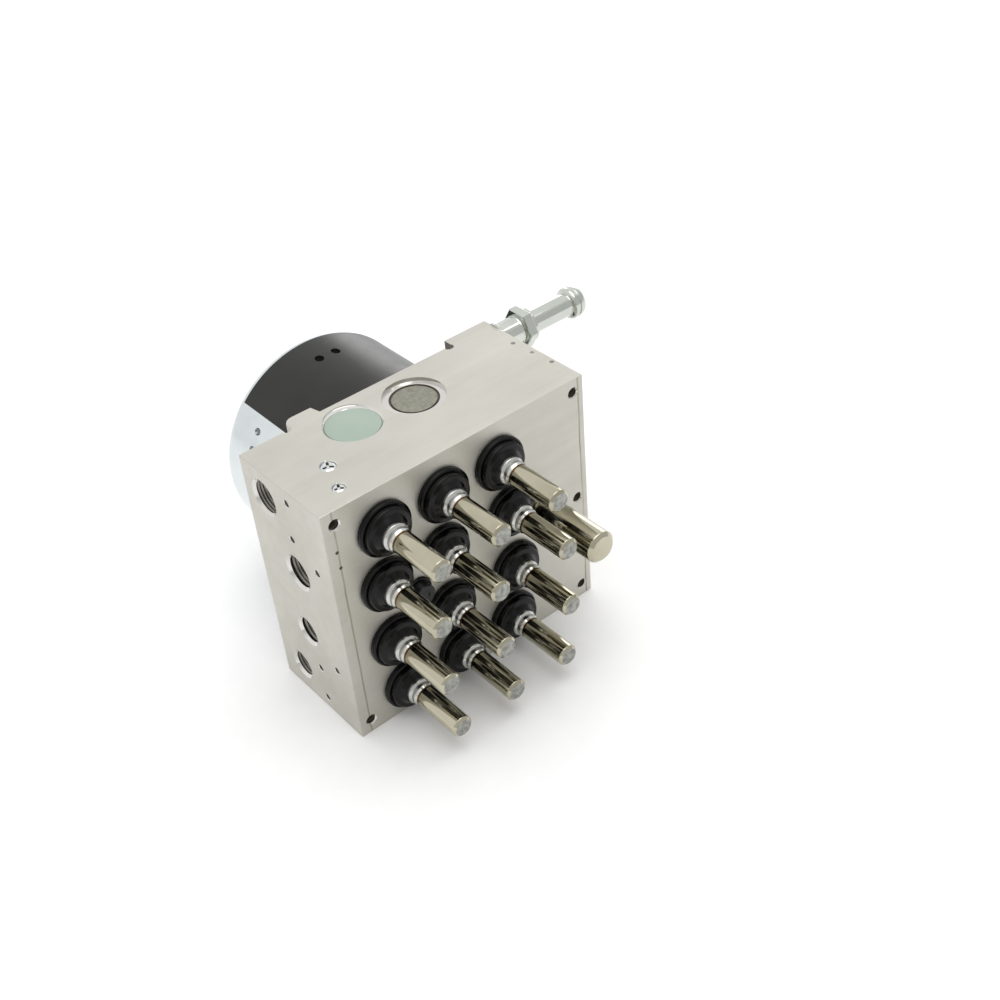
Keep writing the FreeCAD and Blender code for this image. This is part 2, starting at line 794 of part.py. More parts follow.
def make_core(segments):
    """Slotted core, whose teeth have flat tips between the slots."""
    core = flat_sided("armature_core", on_motor_axis(motor_face + s.core_start), BACKWARD,
                      s.core_radius, segments, s.core_length, s.shaft_radius)
    slot = sketch_on(core, "slot_section", "XY_Plane")
    half = s.slot_width / 2
    mouth = s.slot_mouth / 2
    beyond = s.core_radius + 1
    draw_outline(slot, [
        (s.core_hub_radius, 0 - half),
        (s.slot_top_radius, 0 - half),
        (s.slot_top_radius, 0 - mouth),
        (beyond, 0 - mouth),
        (beyond, mouth),
        (s.slot_top_radius, mouth),
        (s.slot_top_radius, half),
        (s.core_hub_radius, half),
    ])
    spread(core, cut_pocket(core, slot, s.core_length, True), "slots")


def make_windings(segments):
    """Copper in the slots, joined by the end turns on both sides of the core."""
    inner = s.core_hub_radius + s.winding_gap
    outer = s.slot_top_radius - s.winding_gap
    height = s.winding_end_height
    far = height + s.core_length + s.winding_gap * 2
    windings = new_body("armature_windings")
    for name, lift in (("front_turns", 0), ("rear_turns", far)):
        turns = sketch_on(windings, name, "XY_Plane", lift)
        draw_polygon(turns, outer, segments)
        draw_polygon(turns, inner, segments)
        pad(windings, turns, height)
        if lift == 0:
            half = s.slot_width / 2 - s.winding_gap
            bar = sketch_on(windings, "slot_turns", "XY_Plane", height / 2)
            draw_outline(bar, [
                (inner + s.winding_gap, 0 - half),
                (outer - s.winding_gap * 5, 0 - half),
                (outer - s.winding_gap * 5, half),
                (inner + s.winding_gap, half),
            ])
            spread(windings, pad(windings, bar, far), "slot_turns_around")
    front = motor_face + s.core_start - height - s.winding_gap
    place(windings, on_motor_axis(front), BACKWARD)


# Hose nipple


def make_nipple():
    """Hose nipple at the upper right: stub, hexagon collar, tube and thicker end."""
    collar = s.nipple_sunk + s.nipple_stub_length
    bulb = s.nipple_sunk + s.nipple_bulb_start
    end = s.nipple_sunk + s.nipple_length
    nipple = turned_piece("union_nipple", [
        (s.nipple_hole_radius, 0),
        (s.nipple_stub_radius, 0),
        (s.nipple_stub_radius, collar),
        (s.nipple_tube_radius, collar),
        (s.nipple_tube_radius, bulb),
        (s.nipple_bulb_radius, bulb),
        (s.nipple_bulb_radius, end),
        (s.nipple_hole_radius, end),
    ], (s.block_width - s.nipple_sunk, s.block_depth - s.nipple_from_back,
        s.block_height - s.nipple_from_top), RIGHT)
    hexagon = sketch_on(nipple, "collar_section", "XY_Plane", collar - s.nipple_collar_width / 2)
    draw_polygon(hexagon, s.nipple_collar_across_flats / math.sqrt(3), 6)
    draw_circles(hexagon, [(0, 0)], s.nipple_hole_radius)
    pad(nipple, hexagon, s.nipple_collar_width)


def check_and_write():
    """Stop at any failed object or bad shape, then write one file for each kept piece."""
    document.recompute()
    failed = [item.Name for item in document.Objects if {"Invalid", "Error"} & set(item.State)]
    if failed:
        raise RuntimeError(f"failed objects: {failed}")
    for piece in kept:
        if piece.Shape.isNull() or not piece.Shape.isValid() or not piece.Shape.Solids:
            raise RuntimeError(f"{piece.Label} has no valid shape")
    os.makedirs("parts", exist_ok=True)
    for piece in kept:
        piece.Shape.exportStep(f"parts/{piece.Label}.step")


make_block()
make_valves()
make_sensor_and_damper()
make_pumps()
make_accumulators()
make_motor_case()
make_magnets()
make_brush_gear()
make_rotor()
make_nipple()
check_and_write()
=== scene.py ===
"""Looks of an anti-lock brake unit: milled valve block, valves, pump motor and hose nipple.

Places in the block are measured in millimetres from its left, front, bottom corner: across, back
and up. Round pieces are drawn standing on their own axis and then laid where they belong.
"""
import math

import bpy
from mathutils import Matrix, Vector


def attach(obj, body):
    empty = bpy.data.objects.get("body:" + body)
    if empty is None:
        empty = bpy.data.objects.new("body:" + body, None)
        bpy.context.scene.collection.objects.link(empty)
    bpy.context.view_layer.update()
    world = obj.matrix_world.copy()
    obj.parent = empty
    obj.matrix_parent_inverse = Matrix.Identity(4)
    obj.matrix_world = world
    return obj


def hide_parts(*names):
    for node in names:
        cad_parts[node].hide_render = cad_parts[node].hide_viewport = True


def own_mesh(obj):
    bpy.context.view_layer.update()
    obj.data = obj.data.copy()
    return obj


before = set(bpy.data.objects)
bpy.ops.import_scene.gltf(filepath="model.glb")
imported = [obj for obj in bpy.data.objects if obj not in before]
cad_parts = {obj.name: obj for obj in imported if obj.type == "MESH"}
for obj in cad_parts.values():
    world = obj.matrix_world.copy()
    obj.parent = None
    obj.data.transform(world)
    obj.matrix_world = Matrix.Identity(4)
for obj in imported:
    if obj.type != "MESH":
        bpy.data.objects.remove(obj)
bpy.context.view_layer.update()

MM = 0.001
BLOCK = (100.0, 48.0, 90.0)
# The frame's origin, in the block's measures
ORIGIN = (50.0, 12.0, 0.0)
# The back edge from left to right: a low corner, a tab, the face for the motor and a pad
CORNER_FACE = 42.8
CORNER_END = 16.2
TAB_START = 18.8
TAB_END = 30.2
TAB_ROUNDING = 3.5
MOTOR_FACE = 43.8
PAD_START = 82.6
EDGE_BREAK = 0.35
# The motor's axis, across and up
MOTOR_AXIS = (56.0, 45.0)
CAN_RADIUS = 38.0
CAN_LENGTH = 51.4
CAN_CORNER = 2.4
BOLT_CIRCLE = 31.5
# Where the foil begins and how far it goes around the can, in degrees from the right
LABEL_START = -44
LABEL_SPAN = 180
LABEL_THICKNESS = 0.12
# Pump bores and accumulators, back from the front, and the two accumulators' places across
PUMP_BACK = 29.5
ACCUMULATOR_BACK = 30.5
ACCUMULATORS = {"left": 33, "right": 79}
# The damper's plug, across and back
DAMPER = (33.6, 31)
# The hose nipple, back and up; the motor's contact post and the sensor, across and up
NIPPLE = (42.4, 84.6)
CONTACT_POST = (28.8, 45)
SENSOR = (80.5, 47)
# Coil springs: radius of the winding, wire, length at rest and stroke
PUMP_SPRING = (2.4, 0.7, 12.8, 1.4)
ACCUMULATOR_SPRING = (5.6, 1.2, 18.2, 8.0)
SPRING_TURNS = 4
# How far cutters reach out of the block, and a place well behind its back
OVER = 2.0
BEHIND = 60

# Which way a round piece's own Z axis points
TURNS = {
    "up": (0, 0, 0),
    "down": (math.pi, 0, 0),
    "front": (math.pi / 2, 0, 0),
    "back": (-math.pi / 2, 0, 0),
    "right": (0, math.pi / 2, 0),
    "left": (0, -math.pi / 2, 0),
}


def at(across, back, up):
    """A place in the block, as a point of the frame in metres."""
    return Vector((across - ORIGIN[0], back - ORIGIN[1], up - ORIGIN[2])) * MM


# Materials


def linear(code):
    """An sRGB hex colour as the linear colour that the shader takes."""
    parts = [int(code[n:n + 2], 16) / 255 for n in (0, 2, 4)]
    straight = [p / 12.92 if p <= 0.04045 else ((p + 0.055) / 1.055) ** 2.4 for p in parts]
    return (*straight, 1.0)


def add_node(tree, kind, settings, links):
    """Add one node, with its settings, and each input's value or the output that feeds it."""
    node = tree.nodes.new(kind)
    for name, value in settings.items():
        setattr(node, name, value)
    for name, value in links.items():
        if isinstance(value, bpy.types.NodeSocket):
            tree.links.new(value, node.inputs[name])
        else:
            node.inputs[name].default_value = value
    return node


def start_material(name):
    """An empty material with its tree and the Object coordinates, in metres."""
    material = bpy.data.materials.new(name)
    material.use_nodes = True
    tree = material.node_tree
    tree.nodes.clear()
    coordinates = add_node(tree, "ShaderNodeTexCoord", {}, {})
    return material, tree, coordinates.outputs["Object"]


def end_material(tree, **sockets):
    """Close a material with the surface shader."""
    names = {key.replace("_", " ").title().replace("Ior", "IOR"): value
             for key, value in sockets.items()}
    shader = add_node(tree, "ShaderNodeBsdfPrincipled", {}, names)
    add_node(tree, "ShaderNodeOutputMaterial", {}, {"Surface": shader.outputs["BSDF"]})


def mottle(tree, place, scale, detail, low, high, stretch=(1, 1, 1)):
    """Soft patches between two colours, or between two numbers given as greys."""
    spread = add_node(tree, "ShaderNodeMapping", {}, {"Vector": place, "Scale": stretch})
    noise = add_node(tree, "ShaderNodeTexNoise", {}, {
        "Vector": spread.outputs["Vector"], "Scale": scale, "Detail": detail, "Roughness": 0.6})
    ramp = add_node(tree, "ShaderNodeValToRGB", {}, {"Fac": noise.outputs["Fac"]})
    ramp.color_ramp.elements[0].position = 0.3
    ramp.color_ramp.elements[0].color = low
    ramp.color_ramp.elements[1].position = 0.7
    ramp.color_ramp.elements[1].color = high
    return ramp.outputs["Color"]


def grey(value):
    """A number as a grey that a colour ramp takes."""
    return (value, value, value, 1.0)


def make_metal(name, dark, light, rough, grain, metallic=1.0, grain_scale=900, stretch=(1, 1, 1),
               patches=45):
    """A metal whose colour and polish vary in soft patches, with a fine surface grain."""
    material, tree, place = start_material(name)
    colour = mottle(tree, place, patches, 4, linear(dark), linear(light))
    polish = mottle(tree, place, patches * 1.7, 5, grey(rough[0]), grey(rough[1]))
    lines = add_node(tree, "ShaderNodeMapping", {}, {"Vector": place, "Scale": stretch})
    fine = add_node(tree, "ShaderNodeTexNoise", {}, {
        "Vector": lines.outputs["Vector"], "Scale": grain_scale, "Detail": 3})
    bump = add_node(tree, "ShaderNodeBump", {}, {
        "Height": fine.outputs["Fac"], "Strength": grain, "Distance": 0.00005})
    end_material(tree, base_color=colour, metallic=metallic, roughness=polish,
                 normal=bump.outputs["Normal"])
    return material


def add_seal_trace(tree, place, colour):
    """A thin brownish line down each side of the front, where a seal's edge has pressed on it."""
    left, right, half_width, front_face = -0.0457, 0.0483, 0.0003, -0.0119
    wander = add_node(tree, "ShaderNodeTexNoise", {}, {"Vector": place, "Scale": 55, "Detail": 2})
    axes = add_node(tree, "ShaderNodeSeparateXYZ", {}, {"Vector": place})
    shifted = add_node(tree, "ShaderNodeMath", {"operation": "MULTIPLY_ADD"}, {
        0: wander.outputs["Fac"], 1: 0.0010, 2: axes.outputs["X"]})
    lines = []
    for across in (left, right):
        line = add_node(tree, "ShaderNodeMath", {"operation": "COMPARE"}, {
            0: shifted.outputs["Value"], 1: across, 2: half_width})
        lines.append(line.outputs["Value"])
    either = add_node(tree, "ShaderNodeMath", {"operation": "MAXIMUM"}, {0: lines[0], 1: lines[1]})
    front = add_node(tree, "ShaderNodeMath", {"operation": "LESS_THAN"}, {
        0: axes.outputs["Y"], 1: front_face})
    on_front = add_node(tree, "ShaderNodeMath", {"operation": "MULTIPLY"}, {
        0: either.outputs["Value"], 1: front.outputs["Value"]})
    faded = add_node(tree, "ShaderNodeMath", {"operation": "MULTIPLY"}, {
        0: on_front.outputs["Value"], 1: wander.outputs["Fac"]})
    mixed = add_node(tree, "ShaderNodeMix", {"data_type": "RGBA"}, {
        0: faded.outputs["Value"], 6: colour, 7: linear("77654F")})
    return mixed.outputs[2]


def make_milled_aluminium():
    """Milled aluminium: matt, warm grey, with faint cutter arcs and soft stains."""
    material, tree, place = start_material("milled_aluminium")
    plain = mottle(tree, place, 38, 6, linear("BEBCB2"), linear("CBC9C0"), (0.5, 1, 1))
    streaks = mottle(tree, place, 260, 3, grey(0.94), grey(1.0), (0.06, 1, 1))
    streaked = add_node(tree, "ShaderNodeMix", {"data_type": "RGBA", "blend_type": "MULTIPLY"}, {
        0: 1.0, 6: plain, 7: streaks})
    colour = add_seal_trace(tree, place, streaked.outputs[2])
    polish = mottle(tree, place, 60, 4, grey(0.38), grey(0.50))
    # Cutter arcs lie about 0.35 mm apart on the real face and are drawn three times as coarse
    rings = {"wave_type": "RINGS", "rings_direction": "SPHERICAL"}
    arcs = add_node(tree, "ShaderNodeTexWave", rings, {
        "Vector": place, "Scale": 160, "Distortion": 0.6, "Detail": 2, "Detail Scale": 3})
    grit = add_node(tree, "ShaderNodeTexNoise", {}, {"Vector": place, "Scale": 1500, "Detail": 3})
    both = add_node(tree, "ShaderNodeMath", {"operation": "MULTIPLY_ADD"}, {
        0: arcs.outputs["Fac"], 1: 0.35, 2: grit.outputs["Fac"]})
    bump = add_node(tree, "ShaderNodeBump", {}, {
        "Height": both.outputs["Value"], "Strength": 0.25, "Distance": 0.00005})
    end_material(tree, base_color=colour, metallic=0.85, roughness=polish,
                 normal=bump.outputs["Normal"])
    return material


def make_foil():
    """Polyester foil: near-black and satin, with a slight orange-peel surface."""
    material, tree, place = start_material("bare_black_foil")
    colour = mottle(tree, place, 90, 4, linear("141410"), linear("1C1B17"))
    polish = mottle(tree, place, 150, 3, grey(0.30), grey(0.36))
    peel = add_node(tree, "ShaderNodeTexNoise", {}, {"Vector": place, "Scale": 420, "Detail": 2})
    bump = add_node(tree, "ShaderNodeBump", {}, {
        "Height": peel.outputs["Fac"], "Strength": 0.08, "Distance": 0.0001})
    end_material(tree, base_color=colour, roughness=polish, specular_ior_level=0.36,
                 normal=bump.outputs["Normal"])
    return material


def make_plastic(name, dark, light, rough, shine=0.5):
    """Moulded plastic or rubber with a fine spark-eroded grain."""
    material, tree, place = start_material(name)
    colour = mottle(tree, place, 120, 4, linear(dark), linear(light))
    polish = mottle(tree, place, 200, 3, grey(rough[0]), grey(rough[1]))
    grain = add_node(tree, "ShaderNodeTexNoise", {}, {"Vector": place, "Scale": 1800, "Detail": 2})
    bump = add_node(tree, "ShaderNodeBump", {}, {
        "Height": grain.outputs["Fac"], "Strength": 0.15, "Distance": 0.00004})
    end_material(tree, base_color=colour, roughness=polish, specular_ior_level=shine,
                 normal=bump.outputs["Normal"])
    return material


ALUMINIUM = make_milled_aluminium()
# Freshly turned aluminium: smoother than the milled faces, and painted lighter than them as a
# highlight, so that broken edges and seats glint
TURNED_ALUMINIUM_GLINT = make_metal("turned_aluminium_painted_glint", "CFCEC9", "DDDCD8", (0.1, 0.18), 0.2)
# Cut aluminium of threads, small holes and dents, painted darker as the shade in their depths
CUT_ALUMINIUM_SHADE = make_metal("cut_aluminium_painted_shade", "77756E", "8F8D86", (0.3, 0.4), 0.2)
# Nickel plating: yellowish, nearly a mirror, so it shows dark and light streaks
NICKEL = make_metal("nickel_plating", "ABA690", "BFBAA6", (0.07, 0.14), 0.05)
# Nickel worn at the sleeves' closed ends: duller, neutral grey and speckled
WORN_NICKEL = make_metal("worn_nickel_plating", "74746F", "ADADA8", (0.22, 0.4), 0.4, patches=600)
# Zinc plating: bluish white, smooth and slightly clouded
ZINC = make_metal("zinc_plating", "CFD5D7", "DDE2E3", (0.14, 0.24), 0.08, patches=70)
# Zinc with green passivation: flat and nearly matt
GREEN_ZINC = make_metal("green_passivated_zinc", "9BAA9E", "A5B3A7", (0.5, 0.6), 0.12, metallic=0.5)
# Sintered or shot-blasted steel: dull, speckled grey
GREY_STEEL = make_metal("blasted_steel", "7D7D70", "96968A", (0.48, 0.6), 0.5, metallic=0.7,
                        grain_scale=1400, patches=700)
# Ground steel: bright, with fine lines around
BRIGHT_STEEL = make_metal("ground_steel", "B9BAB8", "CFCFCC", (0.2, 0.3), 0.15)
# Spring steel wire: darker, drawn smooth
SPRING_STEEL = make_metal("spring_steel", "77787A", "8E8F90", (0.25, 0.35), 0.1)
# Lacquered copper wire: reddish and glossy
COPPER = make_metal("lacquered_copper", "A85F3C", "C07C50", (0.25, 0.35), 0.3, stretch=(1, 0.2, 1))
# Stacked electrical sheet: its edges show as fine lines across
CORE_STEEL = make_metal("stacked_sheet_steel", "5E5F61", "77787A", (0.4, 0.5), 0.6,
                        grain_scale=700, stretch=(0.05, 3, 0.05))
# Elastomer and moulded polyamide, both near-black
BLACK_RUBBER = make_plastic("black_elastomer", "060606", "0B0B0B", (0.18, 0.3), 0.22)
BLACK_PLASTIC = make_plastic("black_polyamide", "17171A", "202023", (0.38, 0.5))
# Hard ferrite: charcoal grey, dry
FERRITE = make_plastic("hard_ferrite", "2C2C2F", "38383B", (0.6, 0.75))
# Pressed carbon: soft black with a faint sheen
CARBON = make_plastic("pressed_carbon", "1A1A1B", "242425", (0.45, 0.55))
# Heat tint beside a weld: brown, thin and glossy
WELD_TINT = make_metal("heat_tinted_nickel", "5A4226", "7A5E38", (0.2, 0.3), 0.05)
# Zinc plating with a thicker chromate film: greyer, with strong dark and light streaks
CHROMATE_ZINC = make_metal("chromate_on_zinc", "BFC4BD", "CFD3CC", (0.06, 0.12), 0.04, patches=90)
# Bottom of a punch mark: in shadow
PUNCH_SHADOW = make_plastic("shadowed_punch_mark", "050505", "090908", (0.6, 0.7), 0.1)
# Walls of small holes, slots and chisel marks: dark brown and dull, a painted shade in their depths
HOLE_SHADE = make_plastic("painted_hole_shade", "42382A", "5A4E3C", (0.5, 0.6))
BLACK_FOIL = make_foil()
WHITE_FLOOR = make_plastic("white_studio_card", "F4F4F4", "F6F6F6", (0.8, 0.9))


# Pieces


def start_alone():
    """Nothing selected, so that an operator acts only on what follows."""
    if bpy.context.object is not None and bpy.context.object.mode != "OBJECT":
        bpy.ops.object.mode_set(mode="OBJECT")
    bpy.ops.object.select_all(action="DESELECT")


def choose(piece):
    """Select one piece and make it the active one."""
    start_alone()
    piece.select_set(True)
    bpy.context.view_layer.objects.active = piece


def fix_place(piece):
    """Move a piece's place, turn and size into its mesh."""
    choose(piece)
    bpy.ops.object.transform_apply(location=True, rotation=True, scale=True)


def rounded(profile):
    """Fill in the corners of a turned profile that name a rounding as their third number."""
    steps = 5
    points = []
    for number, corner in enumerate(profile):
        if len(corner) == 2:
            points.append(Vector(corner))
            continue
        here = Vector(corner[:2])
        before = (Vector(profile[number - 1][:2]) - here).normalized()
        after = (Vector(profile[number + 1][:2]) - here).normalized()
        half = before.angle(after) / 2
        centre = here + (before + after).normalized() * corner[2] / math.sin(half)
        first = here + before * corner[2] / math.tan(half) - centre
        last = here + after * corner[2] / math.tan(half) - centre
        sweep = first.angle_signed(last)
        for step in range(steps + 1):
            turn = Matrix.Rotation(-sweep * step / steps, 2)
            points.append(centre + turn @ first)
    return points


def turn_piece(name, profile, place, facing, sides, material):
    """Turn a closed round piece from (radius, height) corners, each with an optional rounding.

    A disc is extruded from corner to corner of the profile and resized at each.
    """
    points = rounded(profile)
    start_alone()
    bpy.ops.mesh.primitive_circle_add(vertices=sides, radius=points[0][0] * MM, fill_type="NGON",
                                      location=(0, 0, points[0][1] * MM))
    piece = bpy.context.object
    piece.name = name
    fix_place(piece)
    bpy.ops.object.mode_set(mode="EDIT")
    bpy.ops.mesh.select_all(action="SELECT")
    for here, there in zip(points, points[1:]):
        bpy.ops.mesh.extrude_region()
        size = there[0] / here[0]
        bpy.ops.transform.resize(value=(size, size, 1), center_override=(0, 0, 0))
        bpy.ops.transform.translate(value=(0, 0, (there[1] - here[1]) * MM))
    bpy.ops.mesh.select_all(action="SELECT")
    bpy.ops.mesh.normals_make_consistent(inside=False)
    bpy.ops.object.mode_set(mode="OBJECT")
    bpy.ops.object.shade_smooth_by_angle(angle=math.radians(32))
    piece.data.materials.append(material)
    piece.rotation_euler = TURNS[facing]
    piece.location = at(*place)
    fix_place(piece)
    return piece


def even_shading(piece):
    """Keep large flat faces flat where they meet small rounded ones."""
    choose(piece)
    modifier = piece.modifiers.new("even_shading", "WEIGHTED_NORMAL")
    modifier.keep_sharp = True
    bpy.ops.object.modifier_apply(modifier=modifier.name)
    return piece


def make_box(name, low, high, material):
    """A box between two corners in the block's measures."""
    start_alone()
    bpy.ops.mesh.primitive_cube_add(size=1, location=(at(*low) + at(*high)) / 2)
    piece = bpy.context.object
    piece.name = name
    piece.scale = at(*high) - at(*low)
    fix_place(piece)
    piece.data.materials.append(material)
    return piece


def round_edges(piece, width):
    """Round every edge of a simple piece."""
    choose(piece)
    modifier = piece.modifiers.new("bevel", "BEVEL")
    modifier.width = width * MM
    modifier.segments = 2
    modifier.limit_method = "ANGLE"
    modifier.angle_limit = math.radians(30)
    bpy.ops.object.modifier_apply(modifier=modifier.name)


def join(pieces, name):
    """Make one piece of several."""
    start_alone()
    for piece in pieces:
        piece.select_set(True)
    bpy.context.view_layer.objects.active = pieces[0]
    if len(pieces) > 1:
        bpy.ops.object.join()
    pieces[0].name = name
    return pieces[0]


def cut(piece, cutters):
    """Take the cutters out of a piece."""
    tool = join(cutters, "cutter")
    choose(piece)
    modifier = piece.modifiers.new("cut", "BOOLEAN")
    modifier.operation = "DIFFERENCE"
    modifier.solver = "EXACT"
    modifier.object = tool
    modifier.material_mode = "TRANSFER"
    bpy.ops.object.modifier_apply(modifier=modifier.name)
    bpy.data.objects.remove(tool, do_unlink=True)


def copy_piece(pattern, name, shift):
    """A copy with its own mesh, moved by a distance in millimetres."""
    copy = pattern.copy()
    copy.data = pattern.data.copy()
    copy.name = name
    bpy.context.scene.collection.objects.link(copy)
    copy.data.transform(Matrix.Translation(Vector(shift) * MM))
    return copy


def keep(piece, slot, *nodes, body="unit"):
    """Let a finished piece ride on its body, and stand for the given nodes."""
    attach(piece, body)
    if nodes:
        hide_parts(*nodes)


# Valve block


def hole(radius, depth, lip=0.3):
    """The cutter's profile for a plain hole with a broken edge, drilled down from height 0."""
    return [(radius, -depth), (radius, -lip), (radius + lip, 0), (radius + lip, 1)]


def threaded_hole(core, depth, pitch, groove, lip):
    """The cutter's profile for a threaded hole: drill's end, thread as rings, and chamfer."""
    profile = [(core * 0.42, -depth - core * 0.3), (core, -depth)]
    height = -depth + 1
    while height < -lip - pitch:
        profile += [(core, height), (core + groove, height + pitch / 2)]
        height += pitch
    return profile + [(core, -lip - 0.02), (core + lip, 0), (core + lip, 1)]


SIDES_OF_BLOCK = {
    "left": lambda back, up: (0, back, up),
    "right": lambda back, up: (BLOCK[0], back, up),
    "front": lambda across, up: (across, 0, up),
    "up": lambda across, back: (across, back, BLOCK[2]),
    "down": lambda across, back: (across, back, 0),
}
INWARDS = {"left": (1, 0, 0), "right": (-1, 0, 0), "front": (0, 1, 0), "up": (0, 0, -1),
           "down": (0, 0, 1)}


def cutter(profile, side, first, second, sides=48, material=None, inside=None):
    """A round cutter that enters the block from one side, with a turned edge by default, painted
    lighter as a highlight.

    What lies deeper than the edge can have a colour of its own, such as a painted shade.
    """
    place = SIDES_OF_BLOCK[side](first, second)
    tool = turn_piece("cutter", profile, place, side, sides, material or TURNED_ALUMINIUM_GLINT)
    if inside is not None:
        tool.data.materials.append(inside)
        edge = profile[-3][1] * MM
        way = Vector(INWARDS[side])
        for face in tool.data.polygons:
            if (face.center - at(*place)).dot(way) > -edge - 1e-5:
                face.material_index = 1
    return tool


def valve_places():
    """Across and up of the twelve valves, from the top row down."""
    outer, inner = (20.0, 42.0, 64.0), (17.8, 39.8, 66.8)
    rows = ((outer, 75.1), (inner, 54.8), (inner, 31.8), (outer, 11.5))
    return [(across, up) for columns, up in rows for across in columns]


def clear_edges(piece):
    """Leave the piece in object mode, with none of its edges chosen."""
    choose(piece)
    bpy.ops.object.mode_set(mode="EDIT")
    bpy.ops.mesh.select_mode(type="EDGE")
    bpy.ops.mesh.select_all(action="DESELECT")
    bpy.ops.object.mode_set(mode="OBJECT")


def bevel_chosen_edges(width, segments):
    """Bevel the edges that are selected on the active piece."""
    bpy.ops.object.mode_set(mode="EDIT")
    bpy.ops.mesh.bevel(offset=width * MM, segments=segments, affect="EDGES")
    bpy.ops.object.mode_set(mode="OBJECT")


def round_tab(block):
    """Round the outer corner of the tab on the back, over the block's whole height."""
    corner = at(TAB_START, BLOCK[1], 0)
    clear_edges(block)
    for edge in block.data.edges:
        ends = [block.data.vertices[end].co for end in edge.vertices]
        edge.select = all((end.xy - corner.xy).length < 1e-5 for end in ends)
    bevel_chosen_edges(TAB_ROUNDING, 8)


def break_outer_edges(piece, width):
    """Bevel the edges that stand out, and leave the inner corners sharp."""
    clear_edges(piece)
    beside = {}
    for face in piece.data.polygons:
        for pair in face.edge_keys:
            beside.setdefault(pair, []).append((face.normal.copy(), face.center.copy()))
    for edge in piece.data.edges:
        (normal, centre), (other_normal, other_centre) = beside[edge.key]
        outwards = normal.dot(other_centre - centre) < -1e-6
        edge.select = outwards and normal.angle(other_normal) > math.radians(30)
    bevel_chosen_edges(width, 2)


# Places of small plugs that close drilled channels: back and up in the left face
LEFT_PLUGS = ((18.3, 85.0), (19.5, 70.7), (8.1, 64.4), (8.2, 24.0), (18.8, 17.7), (18.3, 4.7))
# Across, back and radius in the top face
TOP_PLUGS = ((15.9, 18.7, 2.5), (12.2, 7.9, 2.0))


def mill_back_edge(block):
    """Mill the stepped back edge and slope the tab's right side."""
    low, high = -OVER, BLOCK[2] + OVER
    cut(block, [make_box("step", (-OVER, CORNER_FACE, low), (CORNER_END, BEHIND, high), ALUMINIUM)])
    cut(block, [
        make_box("step", (CORNER_END, MOTOR_FACE, low), (TAB_START, BEHIND, high), ALUMINIUM),
        make_box("step", (TAB_END, MOTOR_FACE, low), (PAD_START, BEHIND, high), ALUMINIUM),
    ])
    slope = make_box("slope", (TAB_END - 1, MOTOR_FACE, low), (TAB_END + 1, BEHIND, high),
                     ALUMINIUM)
    steepness = 4.2
    foot, top = TAB_END, TAB_END - (BEHIND - MOTOR_FACE) / steepness
    for vertex in slope.data.vertices:
        if vertex.co.x < at(TAB_END, 0, 0).x:
            beside_face = vertex.co.y < at(0, (MOTOR_FACE + BEHIND) / 2, 0).y
            vertex.co.x = at(foot if beside_face else top, 0, 0).x
    cut(block, [slope])
    choose(block)
    bpy.ops.object.mode_set(mode="EDIT")
    bpy.ops.mesh.select_all(action="SELECT")
    bpy.ops.mesh.remove_doubles(threshold=1e-6)
    bpy.ops.mesh.dissolve_limited(angle_limit=math.radians(1))
    bpy.ops.object.mode_set(mode="OBJECT")


def cut_motor_side(block):
    """Corner reliefs, the can's recess, the eccentric's chamber and the contact post's bore."""
    axis = (MOTOR_AXIS[0], MOTOR_FACE, MOTOR_AXIS[1])
    for across, radius in ((17.2, 2.1), (81.3, 1.6)):
        profile = [(radius, -OVER), (radius, BLOCK[2] + OVER)]
        place = (across, MOTOR_FACE - 0.1, 0)
        cut(block, [turn_piece("relief", profile, place, "up", 26, ALUMINIUM)])
    recess = [(CAN_RADIUS + 0.6, -0.05), (CAN_RADIUS + 0.6, 12)]
    cut(block, [turn_piece("recess", recess, axis, "back", 128, TURNED_ALUMINIUM_GLINT)])
    chamber = [(13.8, -22), (13.8, -0.4), (14.2, 0), (14.2, 1)]
    cut(block, [turn_piece("chamber", chamber, axis, "back", 64, ALUMINIUM)])
    bore = [(3.75, -2), (3.75, BEHIND)]
    place = (CONTACT_POST[0], 0, CONTACT_POST[1])
    cut(block, [turn_piece("post_bore", bore, place, "back", 32, ALUMINIUM)])


def drill_ports(block):
    """Threaded ports for the brake lines, each with a fine bore at its end."""
    # Side, back, up, radius of the core and depth
    ports = [
        ("left", 31.9, 79.6, 5.5, 13.0),
        ("left", 20.3, 57.2, 5.5, 12.5),
        ("left", 22.2, 31.6, 4.5, 11.5),
        ("left", 31.2, 10.5, 4.5, 12.0),
        ("right", 26.0, 40.0, 5.5, 10.5),
        ("right", 26.0, 63.0, 5.5, 10.0),
    ]
    # The threads' walls are painted darker as the shade inside the ports
    cut(block, [cutter(threaded_hole(radius, depth, 1.0, 0.45, 0.9), side, back, up,
                       inside=CUT_ALUMINIUM_SHADE) for side, back, up, radius, depth in ports])
    # The fine bores' walls are painted dark brown as shade
    cut(block, [cutter([(1.5, -depth - 5), (1.5, -depth + 3)], side, back, up, 24, HOLE_SHADE)
                for side, back, up, radius, depth in ports])
    # The nipple's bore
    cut(block, [cutter([(5.0, -9), (5.0, 1)], "right", *NIPPLE)])


def drill_screw_holes(block):
    """Five small holes for the electronic unit and two larger ones for a bracket below."""
    screws = [(4.3, 5), (4.3, 85), (95.7, 5), (95.7, 43.4), (95.7, 85)]
    # Their walls are painted dark brown as the shade inside them
    cut(block, [cutter(threaded_hole(1.65, 9, 0.7, 0.3, 0.4), "front", across, up, 24,
                       inside=HOLE_SHADE) for across, up in screws])
    cut(block, [cutter(threaded_hole(2.5, 12, 1.0, 0.4, 0.6), "down", across, 12, 32)
                for across in (9, 91)])


